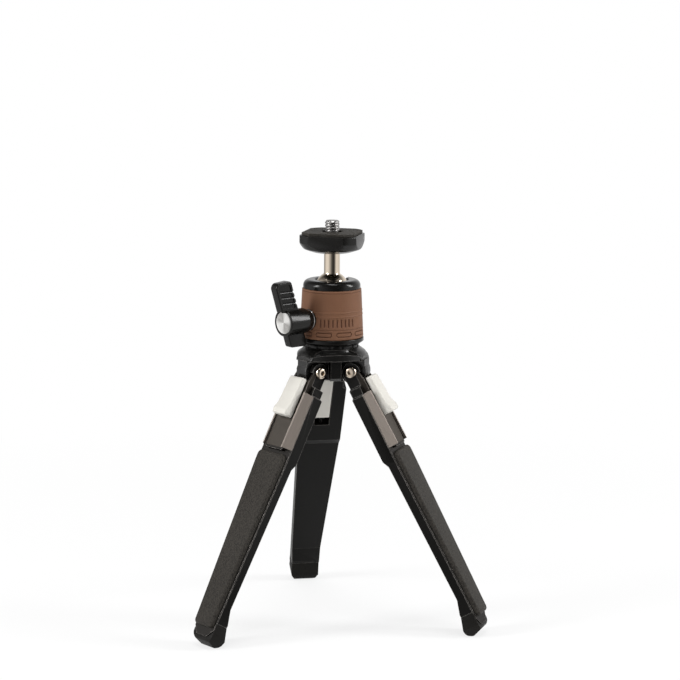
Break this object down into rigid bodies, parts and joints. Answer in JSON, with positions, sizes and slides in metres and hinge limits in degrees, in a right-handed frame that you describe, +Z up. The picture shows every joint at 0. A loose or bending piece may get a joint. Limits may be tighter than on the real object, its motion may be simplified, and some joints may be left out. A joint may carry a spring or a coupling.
{
  "type": "mini tripod with ball head",
  "caption": "Table tripod with folding two-tone metal legs, spring latches at the hinges and a ball head with a brown ribbed grip, a drop notch, a side lock lever and a camera screw.",
  "frame": {"origin": "centre of the camera seat, on the top of the rubber pad, on the camera screw's axis", "axes": "+Z up along the camera screw; +Y towards the back leg, so the two front legs point down to the left and right of -Y"},
  "size_m": [0.131, 0.1137, 0.1798],
  "materials": {
    "black_metal": "satin black coat",
    "gunmetal": "brushed grey-brown",
    "pad_rubber": "matt dark grey-brown",
    "brown_rubber": "matt brown",
    "bright_chrome": "bright",
    "steel": "plain machined",
    "spun_metal": "spun face",
    "white_plastic": "white satin",
    "black_plastic": "black satin"
  },
  "bodies": {
    "crown": {"crown": "black_metal", "head_stud": "steel"},
    "lock_ring": {"lock_ring": "black_metal"},
    "head": {"head_housing": "black_metal", "grip_sleeve": "brown_rubber", "head_collar": "black_metal", "base_ring": "black_metal", "ball_cup": "black_plastic", "lever_washer": "steel"},
    "thrust_pin": {"thrust_pin": "steel"},
    "lever": {"lock_lever": "black_plastic", "lever_cap": "spun_metal", "clamp_screw": "steel"},
    "ball": {"ball_stem": "bright_chrome"},
    "plate": {"camera_plate": "black_metal", "plate_pad": "pad_rubber", "camera_screw": "steel"},
    "leg_back": {"leg_core_back": "black_metal", "leg_shell_back": "gunmetal", "grip_pad_back": "pad_rubber", "foot_back": "pad_rubber", "latch_spring_back": "steel", "hinge_pin_back": "bright_chrome"},
    "latch_back": {"latch_back": "white_plastic"},
    "leg_left": {"leg_core_left": "black_metal", "leg_shell_left": "gunmetal", "grip_pad_left": "pad_rubber", "foot_left": "pad_rubber", "latch_spring_left": "steel", "hinge_pin_left": "bright_chrome"},
    "latch_left": {"latch_left": "white_plastic"},
    "leg_right": {"leg_core_right": "black_metal", "leg_shell_right": "gunmetal", "grip_pad_right": "pad_rubber", "foot_right": "pad_rubber", "latch_spring_right": "steel", "hinge_pin_right": "bright_chrome"},
    "latch_right": {"latch_right": "white_plastic"}
  },
  "joints": [
    {"name": "head_turn", "type": "hinge", "parent": "crown", "child": "head", "pos_m": [0, 0, -0.05], "axis": [0, 0, 1], "range_deg": [-180, 180]},
    {"name": "lock_ring_turn", "type": "hinge", "parent": "crown", "child": "lock_ring", "pos_m": [0, 0, -0.05], "axis": [0, 0, 1], "range_deg": [-90, 90]},
    {"name": "lever_turn", "type": "hinge", "parent": "head", "child": "lever", "pos_m": [-0.01732, -0.01, -0.03797], "axis": [0.866, 0.5, 0], "range_deg": [-90, 0]},
    {"name": "thrust_pin_slide", "type": "slide", "parent": "head", "child": "thrust_pin", "axis": [0.866, 0.5, 0], "range_m": [-0.00021, 0]},
    {"name": "ball_tilt", "type": "hinge", "parent": "head", "child": "ball", "pos_m": [0, 0, -0.0253], "axis": [-0.866, 0.5, 0], "range_deg": [-25, 90]},
    {"name": "plate_spin", "type": "hinge", "parent": "ball", "child": "plate", "pos_m": [0, 0, 0], "axis": [0, 0, 1], "continuous": true},
    {"name": "leg_back_spread", "type": "hinge", "parent": "crown", "child": "leg_back", "pos_m": [0, 0.01126, -0.06097], "axis": [1, 0, 0], "range_deg": [-28.5, 51.5]},
    {"name": "latch_back_slide", "type": "slide", "parent": "leg_back", "child": "latch_back", "axis": [0, 0.4772, -0.8788], "range_m": [0, 0.004], "stiffness_N_per_m": 400, "springref_m": -0.002, "deforming": ["latch_spring_back"]},
    {"name": "leg_left_spread", "type": "hinge", "parent": "crown", "child": "leg_left", "pos_m": [-0.00975, -0.00563, -0.06097], "axis": [-0.5, 0.866, 0], "range_deg": [-28.5, 51.5]},
    {"name": "latch_left_slide", "type": "slide", "parent": "leg_left", "child": "latch_left", "axis": [-0.4132, -0.2386, -0.8788], "range_m": [0, 0.004], "stiffness_N_per_m": 400, "springref_m": -0.002, "deforming": ["latch_spring_left"]},
    {"name": "leg_right_spread", "type": "hinge", "parent": "crown", "child": "leg_right", "pos_m": [0.00975, -0.00563, -0.06097], "axis": [-0.5, -0.866, 0], "range_deg": [-28.5, 51.5]},
    {"name": "latch_right_slide", "type": "slide", "parent": "leg_right", "child": "latch_right", "axis": [0.4132, -0.2386, -0.8788], "range_m": [0, 0.004], "stiffness_N_per_m": 400, "springref_m": -0.002, "deforming": ["latch_spring_right"]}
  ],
  "couplings": [
    {"joint": "thrust_pin_slide", "follows": "lever_turn", "m_per_rad": 0.000127}
  ]
}
